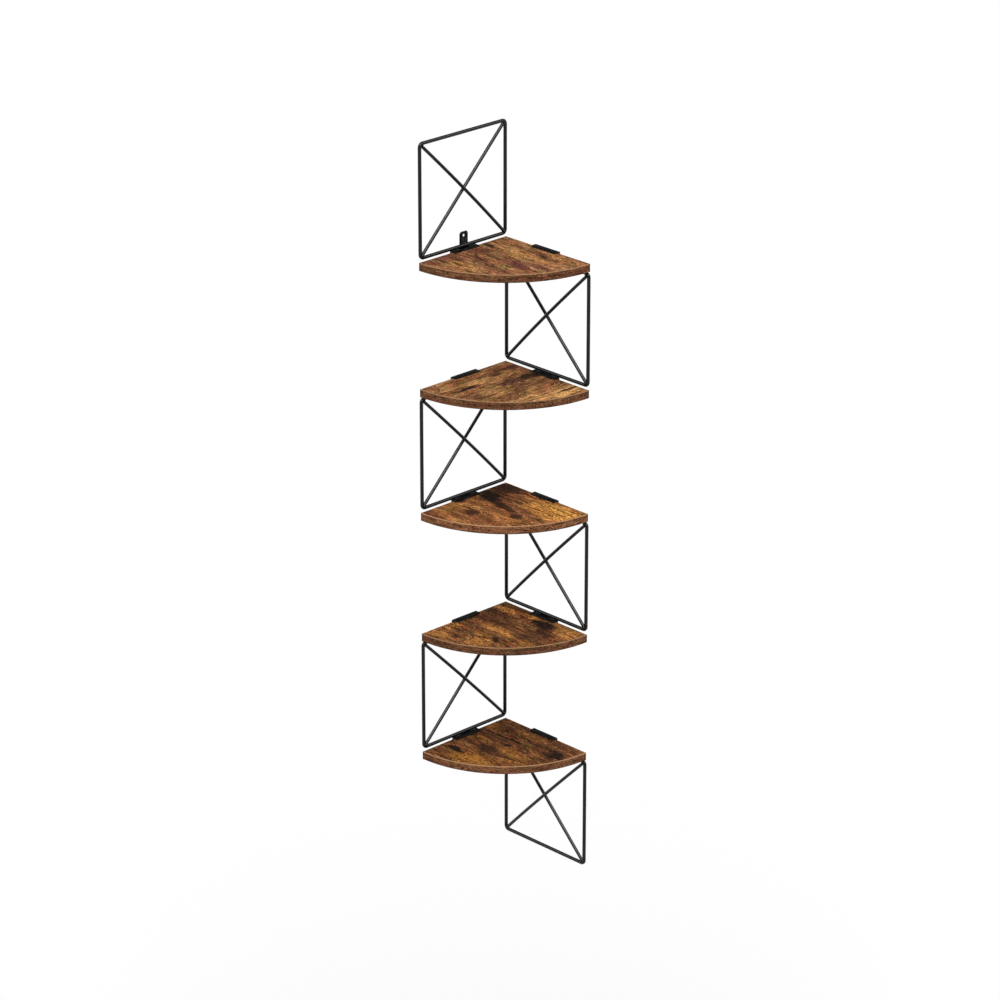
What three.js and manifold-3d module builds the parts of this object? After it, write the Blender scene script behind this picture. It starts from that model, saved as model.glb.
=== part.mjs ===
// Corner shelf unit: quarter-round boards carried by wire panels that alternate between two walls.
// Millimetres, with +Z up. The walls are the planes X = 0 and Y = 0, the unit hangs at X > 0 and
// Y < 0, and Z = 0 is the underside of its lowest wire. A panel and what it carries are drawn in
// the panel's own directions: X along the wall, Y out from the wall into the room, and Z up.
import * as THREE from "three";
import { mergeVertices } from "three/addons/utils/BufferGeometryUtils.js";
import Module from "manifold-3d";

const wasm = await Module();
wasm.setup();

// The whole unit
const footprint = 200; // wall to the far tip of a board
const panelCount = 6; // the panel at the top is number 1
const fitGap = 0.3; // left between pieces that are welded, glued or screwed together
const cutOverrun = 1; // how far a cutting tool reaches past what it cuts

// Wire panels
const wireDiameter = 6;
const railSpacing = 190.8; // centre to centre of a panel's two rails
const frameBendRadius = 6.5; // along the wire's centre line
const cornerInset = 6.5; // wall to the centre of the upright beside the corner
const tipInset = 4.8; // board tip to the centre of the outer upright
const braceDiameter = 5.5;

// Boards
const boardThickness = 14;
const boardSetback = 2.2; // centre line of a rail to the board's straight edge
const bandThickness = 1; // strip glued round the curved edge

// Channels folded from sheet, which hold a board at mid-edge
const sheetThickness = 1.8;
const foldInside = 0.2; // inner radius of a fold
const channelLength = 55;
const topLeafDepth = 13; // from the channel's back face
const bottomLeafDepth = 24;
const leafChamfer = 1.5; // off the free corners of both leaves

// Screws, driven up through the bottom leaf into the board
const screwDiameter = 3.5;
const screwHeadDiameter = 7;
const screwHeadHeight = 2.2;
const screwHeadCrown = 1; // height of the head's rounded part
const screwBite = 9.5; // length inside the board
const screwPoint = 2.5; // length of the cone at its end
const screwEndInset = 10.5; // end of a channel to its nearer screw
const screwSetback = 12; // board's straight edge to the screws
const screwHoleClearance = 0.5; // round the screw in the bottom leaf

// Tab that hangs the top panel on a wall screw
const tabThickness = 1.5;
const tabWidth = 18;
const tabRise = 22; // top of the tab above the rail's centre line
const tabTail = 13; // foot of the tab below the rail's centre line
const tabShift = 5; // from the panel's middle towards the corner
const tabChamfer = 3;
const tabHoleDiameter = 4.5;
const tabHoleDrop = 6.6; // top of the tab to the centre of its hole

// How finely round forms are divided
const wireSides = 12;
const bendSteps = 4;
const bowSteps = 8;
const arcSteps = 24;
const holeSides = 12;
const screwSides = 8;
const foldSteps = 3;

// Where things lie, from the sizes above
const wireRadius = wireDiameter / 2;
const foldOutside = foldInside + sheetThickness;
const wallToWire = tabThickness + fitGap + wireRadius;
const wallToBoard = wallToWire + boardSetback;
const wallToChannel = wallToWire - foldOutside;
const panelWidth = footprint - cornerInset - tipInset;
const panelMiddle = cornerInset + panelWidth / 2;
const seatThickness = sheetThickness + 2 * fitGap; // a leaf between a rail and a board
const panelPitch = railSpacing + wireDiameter + 2 * seatThickness + boardThickness;
const bandInnerRadius = footprint - wallToBoard - bandThickness;
const boardRadius = bandInnerRadius - fitGap;
const screwFromWall = wallToBoard + screwSetback;
const quarterTurn = Math.PI / 2;

// Height of the centre line of a panel's bottom rail.
function bottomRailHeight(panel) {
  return wireRadius + (panelCount - panel) * panelPitch;
}

// Height of the middle of the board under that rail.
function boardMiddleHeight(board) {
  return bottomRailHeight(board) - wireRadius - seatThickness - boardThickness / 2;
}

function painted() {
  return new THREE.MeshStandardMaterial({ color: 0x1d1d1f, roughness: 0.55, metalness: 0.4 });
}

function printedWood() {
  return new THREE.MeshStandardMaterial({ color: 0x7a4a24, roughness: 0.6, metalness: 0 });
}

function edgeStrip() {
  return new THREE.MeshStandardMaterial({ color: 0x5e3419, roughness: 0.55, metalness: 0 });
}

function zincSteel() {
  return new THREE.MeshStandardMaterial({ color: 0x2b2b2d, roughness: 0.4, metalness: 0.8 });
}

function piece(name, geometry, material) {
  const mesh = new THREE.Mesh(geometry, material);
  mesh.name = name;
  return mesh;
}

// A copy with only its points left, and the shared ones merged.
function welded(geometry) {
  const bare = geometry.clone();
  bare.deleteAttribute("normal");
  bare.deleteAttribute("uv");
  return mergeVertices(bare);
}

function solidOf(geometry) {
  const closed = welded(geometry);
  return new wasm.Manifold(
    new wasm.Mesh({
      numProp: 3,
      vertProperties: closed.attributes.position.array,
      triVerts: new Uint32Array(closed.index.array),
    }),
  );
}

function geometryOf(solid) {
  const mesh = solid.getMesh();
  return new THREE.BufferGeometry()
    .setAttribute("position", new THREE.BufferAttribute(mesh.vertProperties, 3))
    .setIndex(new THREE.BufferAttribute(mesh.triVerts, 1));
}

// The first geometry less all the others.
function cut(geometry, ...tools) {
  return geometryOf(tools.reduce((solid, tool) => solid.subtract(solidOf(tool)), solidOf(geometry)));
}

// A path that is stepped from station to station, so a straight takes one step and a bend several.
class StationPath extends THREE.Curve {
  constructor(stations) {
    super();
    this.stations = stations;
  }

  get steps() {
    return this.stations.length - 1;
  }

  getPointAt(share, target = new THREE.Vector3()) {
    return target.copy(this.stations[Math.round(share * this.steps)].point);
  }

  getTangentAt(share, target = new THREE.Vector3()) {
    return target.copy(this.stations[Math.round(share * this.steps)].tangent);
  }
}

function wireSection(diameter) {
  return new THREE.Shape().absarc(0, 0, diameter / 2, 0, 2 * Math.PI);
}

function wireAlong(path, steps, diameter) {
  return new THREE.ExtrudeGeometry(wireSection(diameter), {
    steps,
    curveSegments: wireSides / 2,
    bevelEnabled: false,
    extrudePath: path,
  });
}

// The frame's centre line: four bends, joined by straights, back to its first station.
function framePath() {
  const stations = [];
  for (let corner = 0; corner < 4; corner++) {
    const start = corner * quarterTurn;
    const signX = corner === 0 || corner === 3 ? 1 : -1;
    const signZ = corner < 2 ? 1 : -1;
    const centreX = signX * (panelWidth / 2 - frameBendRadius);
    const centreZ = signZ * (railSpacing / 2 - frameBendRadius);
    for (let step = 0; step <= bendSteps; step++) {
      const angle = start + (step / bendSteps) * quarterTurn;
      const point = new THREE.Vector3(Math.cos(angle), 0, Math.sin(angle)).multiplyScalar(frameBendRadius);
      point.x += centreX;
      point.z += centreZ;
      stations.push({ point, tangent: new THREE.Vector3(-Math.sin(angle), 0, Math.cos(angle)) });
    }
  }
  stations.push(stations[0]);
  return new StationPath(stations);
}

// A closed loop of wire: the two end faces of the extrusion meet, so only its sides are kept.
function frameWire(diameter) {
  const path = framePath();
  const run = wireAlong(path, path.steps, diameter);
  const sides = run.groups.find((group) => group.materialIndex === 1);
  const points = run.attributes.position.array.slice(3 * sides.start, 3 * (sides.start + sides.count));
  const loop = new THREE.BufferGeometry().setAttribute("position", new THREE.BufferAttribute(points, 3));
  return mergeVertices(loop);
}

// The middle of a bend: +1 or -1 along the wall, and +1 for the top or -1 for the bottom.
function bendMiddle(alongSign, upSign) {
  const inset = frameBendRadius * (1 - Math.SQRT1_2);
  const along = alongSign * (panelWidth / 2 - inset);
  return new THREE.Vector3(along, 0, upSign * (railSpacing / 2 - inset));
}

// A straight brace in the plane of the frame, with its ends coped to the inside of two bends.
function backBrace(outward) {
  const line = new THREE.LineCurve3(bendMiddle(-outward, 1), bendMiddle(outward, -1));
  return cut(wireAlong(line, 1, braceDiameter), frameWire(wireDiameter + 2 * fitGap));
}

// A brace between the other two bends, bowed into the room just enough to pass over the straight one.
function frontBrace(outward) {
  const bow = braceDiameter + fitGap;
  const control = new THREE.Vector3(0, 2 * bow, 0);
  const curve = new THREE.QuadraticBezierCurve3(bendMiddle(outward, 1), control, bendMiddle(-outward, -1));
  return cut(wireAlong(curve, bowSteps, braceDiameter), frameWire(wireDiameter + 2 * fitGap));
}

// A round hole's tool: a cylinder that stands on z = from and ends at z = to.
function drill(diameter, x, y, from, to) {
  return new THREE.CylinderGeometry(diameter / 2, diameter / 2, to - from, holeSides)
    .rotateX(quarterTurn)
    .translate(x, y, (from + to) / 2);
}

// The places of a channel's two screws along the wall, from the channel's middle.
const screwPlaces = [-1, 1].map((end) => end * (channelLength / 2 - screwEndInset));

// The channel's folded section: X out from its back face, Y up from the middle of the board.
function channelSection() {
  const inside = boardThickness / 2 + fitGap;
  const outside = inside + sheetThickness;
  const section = new THREE.Shape();
  section.moveTo(topLeafDepth, inside);
  section.lineTo(topLeafDepth, outside);
  section.lineTo(foldOutside, outside);
  section.absarc(foldOutside, outside - foldOutside, foldOutside, quarterTurn, 2 * quarterTurn);
  section.absarc(foldOutside, foldOutside - outside, foldOutside, 2 * quarterTurn, 3 * quarterTurn);
  section.lineTo(bottomLeafDepth, -outside);
  section.lineTo(bottomLeafDepth, -inside);
  section.absarc(foldOutside, foldInside - inside, foldInside, 3 * quarterTurn, 2 * quarterTurn, true);
  section.absarc(foldOutside, inside - foldInside, foldInside, 2 * quarterTurn, quarterTurn, true);
  section.closePath();
  return section;
}

// A leaf's plan, with its two free corners taken off, as a prism from one height to another.
function leafPlan(depth, from, to) {
  const end = channelLength / 2;
  const plan = new THREE.Shape([
    new THREE.Vector2(-end, 0),
    new THREE.Vector2(end, 0),
    new THREE.Vector2(end, depth - leafChamfer),
    new THREE.Vector2(end - leafChamfer, depth),
    new THREE.Vector2(leafChamfer - end, depth),
    new THREE.Vector2(-end, depth - leafChamfer),
  ]);
  return new THREE.ExtrudeGeometry(plan, { depth: to - from, bevelEnabled: false }).translate(0, 0, from);
}

// A channel with its back face on Y = 0 and the board's middle at Z = 0.
function channel() {
  const outside = boardThickness / 2 + fitGap + sheetThickness;
  const folded = new THREE.ExtrudeGeometry(channelSection(), {
    depth: channelLength,
    curveSegments: foldSteps,
    bevelEnabled: false,
  });
  folded.translate(0, 0, -channelLength / 2).rotateX(quarterTurn).rotateZ(quarterTurn);
  const upper = solidOf(leafPlan(topLeafDepth, 0, outside + cutOverrun));
  const lower = solidOf(leafPlan(bottomLeafDepth, -outside - cutOverrun, 0));
  const trimmed = geometryOf(solidOf(folded).intersect(upper.add(lower)));
  const holes = screwPlaces.map((along) => {
    const diameter = screwDiameter + 2 * screwHoleClearance;
    return drill(diameter, along, screwFromWall - wallToChannel, -outside - cutOverrun, 0);
  });
  return cut(trimmed, ...holes);
}

// A quarter disc, or a quarter ring, with the square corner at the origin and the arc towards +X -Y.
function quarterShape(outerRadius, innerRadius) {
  const shape = new THREE.Shape();
  shape.absarc(0, 0, outerRadius, -quarterTurn, 0);
  if (innerRadius > 0) {
    shape.absarc(0, 0, innerRadius, 0, -quarterTurn, true);
  } else {
    shape.lineTo(0, 0);
  }
  shape.closePath();
  return shape;
}

function quarterSlab(outerRadius, innerRadius) {
  return new THREE.ExtrudeGeometry(quarterShape(outerRadius, innerRadius), {
    depth: boardThickness,
    curveSegments: arcSteps / 2,
    bevelEnabled: false,
  }).translate(0, 0, -boardThickness / 2);
}

// A board with a pilot hole for each screw, two along each straight edge.
function board() {
  const middle = panelMiddle - wallToBoard;
  const diameter = screwDiameter + 2 * fitGap;
  const under = -boardThickness / 2 - cutOverrun;
  const top = screwBite + fitGap - boardThickness / 2;
  const pilots = screwPlaces.flatMap((along) => [
    drill(diameter, middle + along, -screwSetback, under, top),
    drill(diameter, screwSetback, -middle - along, under, top),
  ]);
  return cut(quarterSlab(boardRadius, 0), ...pilots);
}

// A pan-head screw that points up, with the seat of its head on Z = 0.
function screw() {
  const length = fitGap + seatThickness + screwBite;
  const headRadius = screwHeadDiameter / 2;
  const outline = [
    new THREE.Vector2(0, -screwHeadHeight),
    new THREE.Vector2(headRadius - screwHeadCrown, -screwHeadHeight),
    new THREE.Vector2(headRadius, screwHeadCrown - screwHeadHeight),
    new THREE.Vector2(headRadius, 0),
    new THREE.Vector2(screwDiameter / 2, 0),
    new THREE.Vector2(screwDiameter / 2, length - screwPoint),
    new THREE.Vector2(0, length),
  ];
  return new THREE.LatheGeometry(outline, screwSides).rotateX(quarterTurn);
}

// The hanging tab, with the wall on Y = 0 and the rail's centre line on Z = 0.
function wallTab() {
  const half = tabWidth / 2;
  const outline = new THREE.Shape([
    new THREE.Vector2(-half, -tabTail),
    new THREE.Vector2(half, -tabTail),
    new THREE.Vector2(half, tabRise - tabChamfer),
    new THREE.Vector2(half - tabChamfer, tabRise),
    new THREE.Vector2(tabChamfer - half, tabRise),
    new THREE.Vector2(-half, tabRise - tabChamfer),
  ]);
  const hole = new THREE.Path().absarc(0, tabRise - tabHoleDrop, tabHoleDiameter / 2, 0, 2 * Math.PI);
  outline.holes.push(hole);
  return new THREE.ExtrudeGeometry(outline, {
    depth: tabThickness,
    curveSegments: holeSides / 2,
    bevelEnabled: false,
  })
    .rotateX(quarterTurn)
    .translate(0, tabThickness, 0);
}

// Odd panels lie on the wall X = 0, and even ones on the wall Y = 0.
function onLeftWall(panel) {
  return panel % 2 === 1;
}

// A group at a panel's middle along its wall, whose Y points from the wall into the room.
function wallGroup(left, fromWall, height) {
  const group = new THREE.Group();
  group.rotation.z = left ? -quarterTurn : 2 * quarterTurn;
  if (left) {
    group.position.set(fromWall, -panelMiddle, height);
  } else {
    group.position.set(panelMiddle, -fromWall, height);
  }
  return group;
}

// One panel: its frame and the two braces that cross in it.
function wirePanel(panel) {
  const left = onLeftWall(panel);
  const outward = left ? 1 : -1; // the way to the board's tip along the group's X
  const group = wallGroup(left, wallToWire, bottomRailHeight(panel) + railSpacing / 2);
  group.add(
    piece(`frame_${panel}_wire`, frameWire(wireDiameter), painted()),
    piece(`frame_${panel}_brace_back`, backBrace(outward), painted()),
    piece(`frame_${panel}_brace_front`, frontBrace(outward), painted()),
  );
  return group;
}

// The channel on one straight edge of a board, and its two screws.
function channelSet(boardNumber, left, name) {
  const group = wallGroup(left, wallToChannel, boardMiddleHeight(boardNumber));
  group.add(piece(`bracket_${name}`, channel(), painted()));
  const seat = -boardThickness / 2 - seatThickness - fitGap;
  screwPlaces.forEach((along, index) => {
    const fastener = piece(`screw_${name}_${"ab"[index]}`, screw(), zincSteel());
    fastener.position.set(along, screwFromWall - wallToChannel, seat);
    group.add(fastener);
  });
  return group;
}

// One board with its edge band and the channels that hold the panels above and below it.
function shelf(boardNumber) {
  const group = new THREE.Group();
  const slab = piece(`shelf_${boardNumber}_board`, board(), printedWood());
  const outerRadius = bandInnerRadius + bandThickness;
  const band = piece(`shelf_${boardNumber}_edge_band`, quarterSlab(outerRadius, bandInnerRadius), edgeStrip());
  for (const part of [slab, band]) {
    part.position.set(wallToBoard, -wallToBoard, boardMiddleHeight(boardNumber));
  }
  const leftIsAbove = onLeftWall(boardNumber);
  group.add(
    slab,
    band,
    channelSet(boardNumber, leftIsAbove, `${boardNumber}_above`),
    channelSet(boardNumber, !leftIsAbove, `${boardNumber}_below`),
  );
  return group;
}

function hangingTab() {
  const group = wallGroup(true, 0, bottomRailHeight(1));
  const tab = piece("wall_tab", wallTab(), painted());
  tab.position.x = -tabShift;
  group.add(tab);
  return group;
}

const unit = new THREE.Group();
unit.name = "corner_shelf_unit";
for (let panel = 1; panel <= panelCount; panel++) unit.add(wirePanel(panel));
for (let boardNumber = 1; boardNumber < panelCount; boardNumber++) unit.add(shelf(boardNumber));
unit.add(hangingTab());

export default unit;
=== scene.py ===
import math

import bmesh
import bpy
import numpy as np
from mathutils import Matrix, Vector


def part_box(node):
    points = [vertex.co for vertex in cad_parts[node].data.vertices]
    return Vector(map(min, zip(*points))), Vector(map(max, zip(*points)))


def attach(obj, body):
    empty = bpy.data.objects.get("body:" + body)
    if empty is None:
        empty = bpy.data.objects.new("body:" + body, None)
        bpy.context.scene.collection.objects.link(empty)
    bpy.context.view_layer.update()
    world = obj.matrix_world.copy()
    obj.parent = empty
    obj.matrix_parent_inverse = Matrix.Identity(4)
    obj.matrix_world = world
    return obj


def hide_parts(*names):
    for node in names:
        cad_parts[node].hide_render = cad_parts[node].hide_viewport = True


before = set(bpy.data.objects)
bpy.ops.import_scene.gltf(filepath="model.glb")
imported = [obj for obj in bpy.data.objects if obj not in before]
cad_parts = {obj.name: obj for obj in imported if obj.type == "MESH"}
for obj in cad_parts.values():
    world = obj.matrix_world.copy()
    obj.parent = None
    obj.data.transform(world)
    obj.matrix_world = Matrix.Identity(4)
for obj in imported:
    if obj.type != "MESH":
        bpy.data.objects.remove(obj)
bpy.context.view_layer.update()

# A corner shelf unit: five quarter-round boards with a printed rustic wood face, six panels of
# black coated wire, folded steel channels, screws and a hanging tab. Lengths are in metres.
# A panel is drawn along its wall, out from the wall and up, and then laid on the left or the
# right wall. The left wall is the plane X = 0 and the right one Y = 0.

mm = 0.001
panel_count = 6
board_count = panel_count - 1
merge_within = 0.001 * mm

# Wire
bend_radius = 6.5 * mm
brace_diameter = 5.5 * mm
wire_sides = 28
bend_steps = 10
brace_steps = 8
bow_steps = 24

# Welds. Shares are of the wire's radius, but a spot's are of the brace's diameter, and a bead's rise is a
# share of the way from its channel to the rail's middle line.
collar_rise = 1.1 * mm
collar_length = 2.4 * mm
collar_start_share = 0.55
collar_sink = 0.05 * mm
collar_steps = 8
bead_radius = 1.25 * mm
bead_length = 13 * mm
bead_inset = 3 * mm
bead_pitch = 1.5 * mm
bead_ripple = 0.07
bead_rise_share = 0.12
bead_out_share = 0.85
bead_steps = 40
bead_sides = 14
spot_reach_share = 0.42
spot_radius_share = 0.3
tab_bead_radius = 0.9 * mm
tab_bead_inset = 2 * mm
tab_bead_rise_share = 0.8

# Boards. The pulls say how far a face's rings are drawn to one inner point, the whole way first.
board_ease = 0.7 * mm
ease_steps = 4
face_pull_shares = 1, 0.65, 0.3
inner_point_share = 0.42
strip_thickness = 1.0 * mm
strip_ease = 0.85 * mm
strip_ease_steps = 6
arc_steps = 72
edge_steps = 12

# Folded channels
sheet_thickness = 1.8 * mm
fold_inside = 0.2 * mm
top_leaf_depth = 13 * mm
leaf_chamfer = 1.5 * mm
sheet_ease = 0.25 * mm
fold_steps = 8

# Screws
screw_diameter = 3.5 * mm
head_height = 2.2 * mm
head_crown = 1.0 * mm
point_length = 2.5 * mm
recess_depth = 1.2 * mm
recess_half_width = 0.45 * mm
recess_reach = 1.9 * mm
recess_wall = 0.3 * mm
crown_steps = 5
face_steps = 14
screw_sides = 48

# Hanging tab
tab_chamfer = 3 * mm
tab_hole_diameter = 4.5 * mm
tab_hole_drop = 6.6 * mm
tab_ease = 0.25 * mm
tab_sides = 64
least_facing = 1e-6
angle_digits = 6


def paint(red, green, blue):
    """The linear colour of screen values from 0 to 255."""
    channels = np.array([red, green, blue]) / 255
    linear = np.where(channels <= 0.04045, channels / 12.92, ((channels + 0.055) / 1.055) ** 2.4)
    return (*linear.tolist(), 1.0)


# Shapes


def placed(name, data):
    """An object in the scene."""
    made = bpy.data.objects.new(name, data)
    bpy.context.scene.collection.objects.link(made)
    return made


def piece(name, shape, solid, look, sharp=35):
    """A mesh in place of a CAD solid, or of none, with its doubles merged, its faces pointing out and its
    hard edges kept hard. A look is the name of a slot, which is not used, and a material."""
    points, faces = shape
    slot, material = look
    mesh = bpy.data.meshes.new(name)
    mesh.from_pydata(points.reshape(-1, 3).tolist(), [], faces)
    work = bmesh.new()
    work.from_mesh(mesh)
    bmesh.ops.remove_doubles(work, verts=work.verts, dist=merge_within)
    if work.calc_volume(signed=True) < 0:
        bmesh.ops.reverse_faces(work, faces=work.faces)
    work.to_mesh(mesh)
    work.free()
    mesh.shade_smooth()
    mesh.set_sharp_from_angle(angle=math.radians(sharp))
    mesh.materials.append(material)
    made = placed(name, mesh)
    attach(made, "root")
    if solid:
        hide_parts(solid)


def grid_faces(rows, columns, wrap_rows=False, wrap_columns=False):
    """The quads of a grid of points that lie row after row."""
    row, column = np.mgrid[: rows - 1 + wrap_rows, : columns - 1 + wrap_columns]
    here, below, beside = row * columns, (row + 1) % rows * columns, (column + 1) % columns
    quads = np.stack([here + column, here + beside, below + beside, below + column], -1)
    return quads.reshape(-1, 4).tolist()


def closed_tube(rows, columns):
    """The quads round a tube of points that lie row after row, and a face over each of its ends."""
    ends = [list(range(columns))[::-1], list(range((rows - 1) * columns, rows * columns))]
    return grid_faces(rows, columns, False, True) + ends


def on_left_wall(panel):
    return panel % 2 == 1


def laid(points, left):
    """Points given along the wall, out from it and up, as X, Y, Z."""
    along, out, up = points[..., 0], points[..., 1], points[..., 2]
    return np.stack([out, -along, up] if left else [along, -out, up], -1)


def spans(solid, left):
    """A CAD solid's lowest and highest value along its wall, out from it and up."""
    low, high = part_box(solid)
    if left:
        return (-high.y, -low.y), (low.x, high.x), (low.z, high.z)
    return (low.x, high.x), (-high.y, -low.y), (low.z, high.z)


class Panel:
    """The middle lines of a wire panel, read from its frame and its two braces."""

    def __init__(self, number):
        self.number = number
        self.left = on_left_wall(number)
        along, out, up = spans(f"frame_{number}_wire", self.left)
        self.radius = (out[1] - out[0]) / 2
        self.out = (out[0] + out[1]) / 2
        self.near, self.far = along[0] + self.radius, along[1] - self.radius
        self.low, self.high = up[0] + self.radius, up[1] - self.radius
        self.middle = (self.near + self.far) / 2, (self.low + self.high) / 2
        back = spans(f"frame_{number}_brace_back", self.left)[1]
        front = spans(f"frame_{number}_brace_front", self.left)[1]
        self.bow = front[1] - back[1]

    def bend_middle(self, far, high):
        """The middle of one of the four bends, on the wire's middle line."""
        inset = bend_radius * (1 - math.sqrt(0.5))
        along = self.far - inset if far else self.near + inset
        up = self.high - inset if high else self.low + inset
        return np.array([along, self.out, up])


def frame_wire(panel):
    """A closed rounded rectangle of round wire.
    Point = bend centre + (bend radius + wire radius cos s) outward + wire radius sin s off the wall,
    with outward turning a quarter circle in each bend, and the straights lying between two bends."""
    turn = np.concatenate([np.linspace(k, k + 1, bend_steps + 1) for k in range(4)]) * math.pi / 2
    middle_along, middle_up = panel.middle
    half_along = (panel.far - panel.near) / 2 - bend_radius
    half_up = (panel.high - panel.low) / 2 - bend_radius
    quarter = np.repeat(np.arange(4), bend_steps + 1)
    sign_along = np.where((quarter == 0) | (quarter == 3), 1, -1)
    sign_up = np.where(quarter < 2, 1, -1)
    section = np.linspace(0, 2 * math.pi, wire_sides, endpoint=False)
    reach = bend_radius + panel.radius * np.cos(section)[None, :]
    along = (middle_along + sign_along * half_along)[:, None] + reach * np.cos(turn)[:, None]
    up = (middle_up + sign_up * half_up)[:, None] + reach * np.sin(turn)[:, None]
    out = np.broadcast_to(panel.out + panel.radius * np.sin(section)[None, :], along.shape)
    points = laid(np.stack([along, out, up], -1), panel.left)
    return points, grid_faces(len(turn), wire_sides, True, True)


def rod(path, radius, left, sides=wire_sides):
    """A round rod along a path that lies nearly in one upright plane, closed to a point at both ends.
    Point = path + radius (cos s across + sin s beside), with across level and square to the path."""
    ahead = np.gradient(path, axis=0)
    ahead /= np.linalg.norm(ahead, axis=1, keepdims=True)
    beside = np.cross(ahead, [0.0, 1.0, 0.0])
    beside /= np.linalg.norm(beside, axis=1, keepdims=True)
    across = np.cross(beside, ahead)
    section = np.linspace(0, 2 * math.pi, sides, endpoint=False)[None, :, None]
    circle = np.cos(section) * across[:, None] + np.sin(section) * beside[:, None]
    radius = np.broadcast_to(np.asarray(radius, float), len(path))
    points = path[:, None] + radius[:, None, None] * circle
    ends = [np.broadcast_to(end, (1, sides, 3)) for end in (path[0], path[-1])]
    points = np.concatenate([ends[0], points, ends[1]])
    return laid(points, left), grid_faces(len(points), sides, False, True)


def brace_back(panel):
    """A straight brace, from the top bend beside the corner to the bottom bend at the tip."""
    ends = panel.bend_middle(False, True), panel.bend_middle(True, False)
    share = np.linspace(0, 1, brace_steps + 1)[:, None]
    return ends[0] * (1 - share) + ends[1] * share


def brace_front(panel):
    """A bowed brace, start (1-t)^2 + 2 control t (1-t) + end t^2. Its middle is one bow off the line."""
    start, end = panel.bend_middle(True, True), panel.bend_middle(False, False)
    control = (start + end) / 2 + [0, 2 * panel.bow, 0]
    share = np.linspace(0, 1, bow_steps + 1)[:, None]
    return start * (1 - share) ** 2 + 2 * control * share * (1 - share) + end * share**2


def joined(shapes):
    """Several lots of points and faces as one."""
    points, faces, first = [], [], 0
    for shape_points, shape_faces in shapes:
        flat = shape_points.reshape(-1, 3)
        points.append(flat)
        faces += [[corner + first for corner in face] for face in shape_faces]
        first += len(flat)
    return np.concatenate(points), faces


def collar(panel, path):
    """The weld round a brace's end: a rod whose rise over the brace falls as a cosine, to just under its
    skin. Where it is thicker than the wire it lies further forward, so that it stays off the wall."""
    share = np.linspace(0, 1, collar_steps + 1)
    ahead = path[1] - path[0]
    ahead = ahead / np.linalg.norm(ahead)
    start = panel.radius * collar_start_share
    reach = start + share * (panel.radius - start + collar_length)
    radius = brace_diameter / 2 + collar_rise * (0.5 + 0.5 * np.cos(math.pi * share)) - collar_sink * share
    forward = np.maximum(radius - panel.radius, 0)[:, None] * [0, 1, 0]
    return rod(path[0] + reach[:, None] * ahead + forward, radius, panel.left)


def bead(start, end, left, radius=bead_radius):
    """A run of weld: a rod that tapers to its ends as the root of a half circle and ripples each pitch."""
    start, end = np.asarray(start, float), np.asarray(end, float)
    length = np.linalg.norm(end - start)
    share = (1 - np.cos(np.linspace(0, math.pi, bead_steps + 1)[1:-1])) / 2
    swell = np.sqrt(1 - (2 * share - 1) ** 2) ** 0.5
    ripple = 1 + bead_ripple * np.cos(2 * math.pi * share * length / bead_pitch)
    path = start + share[:, None] * (end - start)
    return rod(path, radius * swell * ripple, left, bead_sides)


def panel_welds(panel):
    """Collars at the braces' ends, a spot where they cross, and beads where rails meet channels or tab."""
    shapes = []
    for path in (brace_back(panel), brace_front(panel)):
        shapes += [collar(panel, path), collar(panel, path[::-1])]
    crossing = np.array([panel.middle[0], panel.out + panel.bow / 2, panel.middle[1]])
    half = np.array([brace_diameter * spot_reach_share, 0, 0])
    shapes.append(bead(crossing - half, crossing + half, panel.left, brace_diameter * spot_radius_share))
    for board, rail, side in ((panel.number, panel.low, "above"), (panel.number - 1, panel.high, "below")):
        if not 1 <= board <= board_count:
            continue
        along, _, up = spans(f"bracket_{board}_{side}", panel.left)
        level = up[1] if side == "above" else up[0]
        level += (rail - level) * bead_rise_share
        beside = panel.out + panel.radius * bead_out_share
        for start in (along[0] + bead_inset, along[1] - bead_inset - bead_length):
            shapes.append(bead([start, beside, level], [start + bead_length, beside, level], panel.left))
    if panel.number == 1:
        along, out, _ = spans("wall_tab", panel.left)
        near, far = along[0] + tab_bead_inset, along[1] - tab_bead_inset
        rise = panel.radius * tab_bead_rise_share
        for level in (panel.low + rise, panel.low - rise):
            shapes.append(bead([near, out[1], level], [far, out[1], level], panel.left, tab_bead_radius))
    return joined(shapes)


class Board:
    """A quarter-round board's corner, radius and faces, read from the board and its edge strip."""

    def __init__(self, number):
        self.number = number
        low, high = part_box(f"shelf_{number}_board")
        _, strip_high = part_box(f"shelf_{number}_edge_band")
        self.corner = np.array([low.x, high.y])
        self.low, self.high = low.z, high.z
        self.radius = strip_high.x - low.x


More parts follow.
